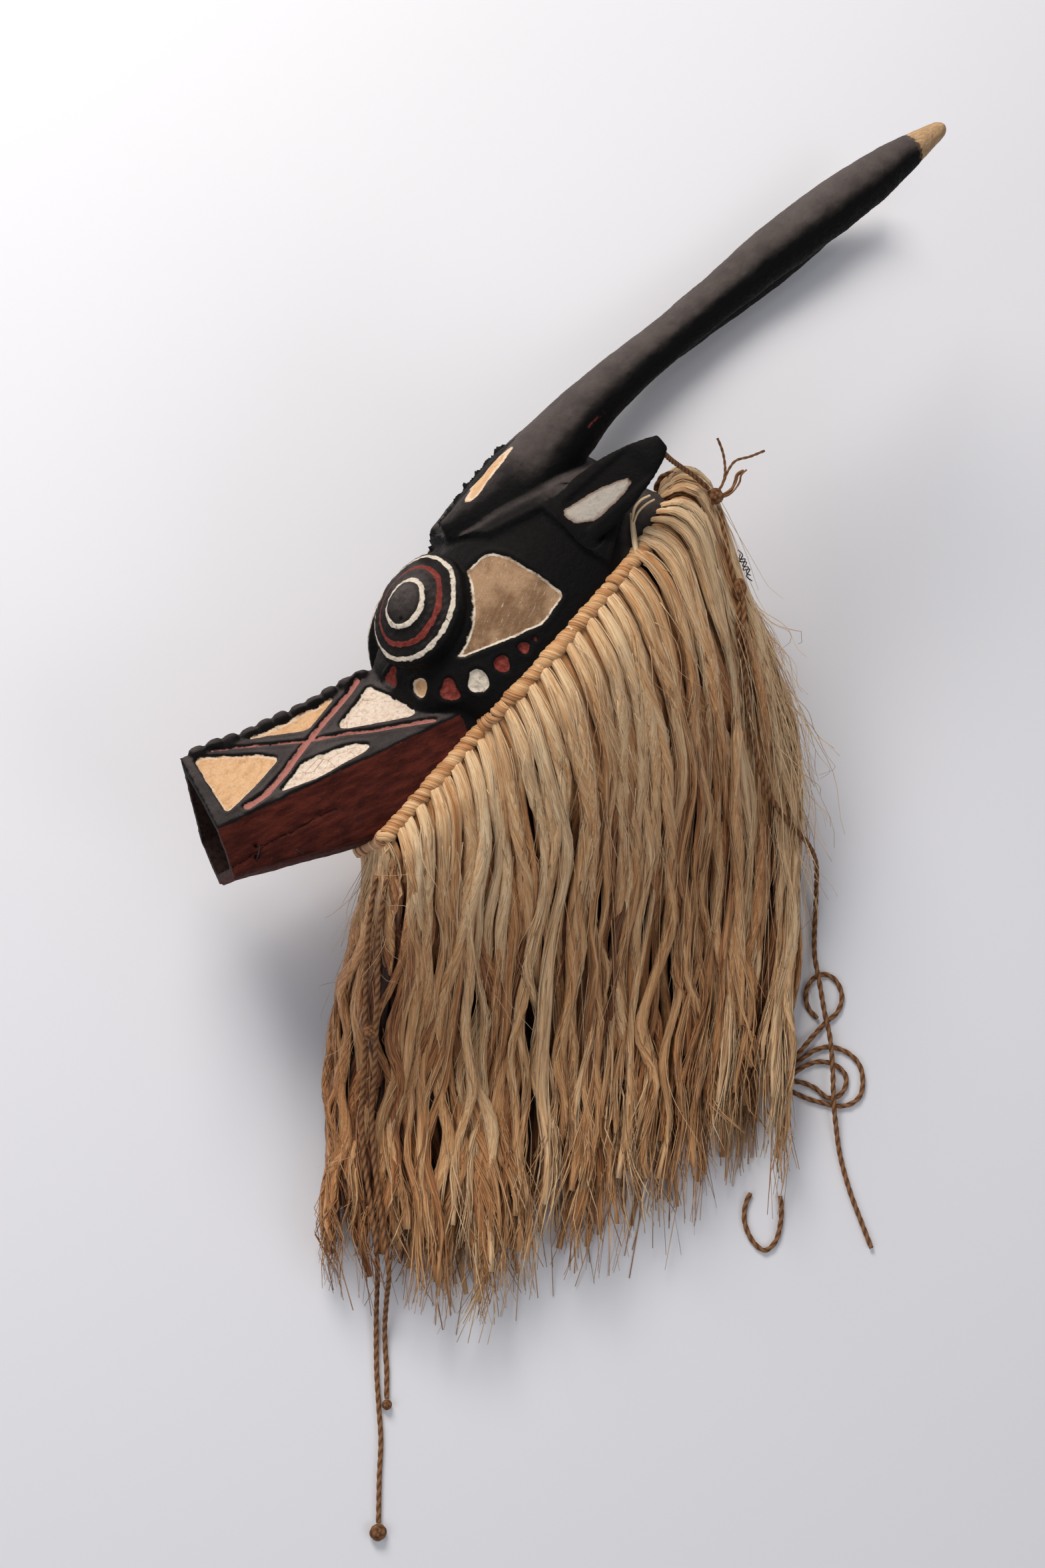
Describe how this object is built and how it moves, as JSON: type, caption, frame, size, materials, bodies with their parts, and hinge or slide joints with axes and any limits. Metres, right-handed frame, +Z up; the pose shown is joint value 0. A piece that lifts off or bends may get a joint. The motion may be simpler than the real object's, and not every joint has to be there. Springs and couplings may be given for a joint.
{
  "type": "buffalo mask",
  "caption": "Carved, painted wooden buffalo head mask with swept horns, goggle eyes and an open square snout, with a long hanging fibre fringe, lying on its side.",
  "frame": {"origin": "centre of the footprint at the resting surface, for the mask and its fringe without the loose cords", "axes": "+Z up from the surface the mask lies on, out of the mask's left side; +Y towards the horn tips and away from the fringe's hem; +X to the right in the picture, from snout to horns"},
  "size_m": [0.5128, 0.969, 0.2446],
  "materials": {
    "painted_wood": "worn matt paint, black with white, tan and dark red, over light wood",
    "fibre": "dry golden plant fibre in loose hanks",
    "cord_fibre": "brown two-ply twisted plant cord"
  },
  "bodies": {
    "root": {"mask": "painted_wood", "heading_cord": "fibre", "fringe_hank_01": "fibre", "fringe_hank_02": "fibre", "fringe_hank_03": "fibre", "fringe_hank_04": "fibre", "fringe_hank_05": "fibre", "fringe_hank_06": "fibre", "fringe_hank_07": "fibre", "fringe_hank_08": "fibre", "fringe_hank_09": "fibre", "fringe_hank_10": "fibre", "fringe_hank_11": "fibre", "fringe_hank_12": "fibre", "fringe_hank_13": "fibre", "fringe_hank_14": "fibre", "fringe_hank_15": "fibre", "fringe_hank_16": "fibre", "fringe_hank_17": "fibre", "fringe_hank_18": "fibre", "fringe_hank_19": "fibre", "fringe_hank_20": "fibre", "fringe_hank_21": "fibre", "fringe_hank_22": "fibre", "fringe_hank_23": "fibre", "fringe_hank_24": "fibre", "fringe_hank_25": "fibre", "fringe_hank_26": "fibre", "fringe_hank_27": "fibre", "fringe_hank_28": "fibre", "fringe_hank_29": "fibre", "fringe_hank_30": "fibre", "fringe_hank_31": "fibre", "fringe_hank_32": "fibre", "fringe_hank_33": "fibre", "fringe_hank_34": "fibre", "fringe_hank_35": "fibre", "fringe_hank_36": "fibre", "fringe_hank_37": "fibre", "ear_cord": "cord_fibre", "arch_cord": "cord_fibre", "back_cord": "cord_fibre", "back_cord_loop": "cord_fibre", "back_cord_outer_ring": "cord_fibre", "back_cord_inner_ring": "cord_fibre", "back_cord_bight": "cord_fibre", "front_cord": "cord_fibre", "front_cord_return": "cord_fibre", "back_knot": "cord_fibre", "front_cord_hitch": "cord_fibre", "front_cord_end_knot": "cord_fibre"}
  },
  "joints": []
}
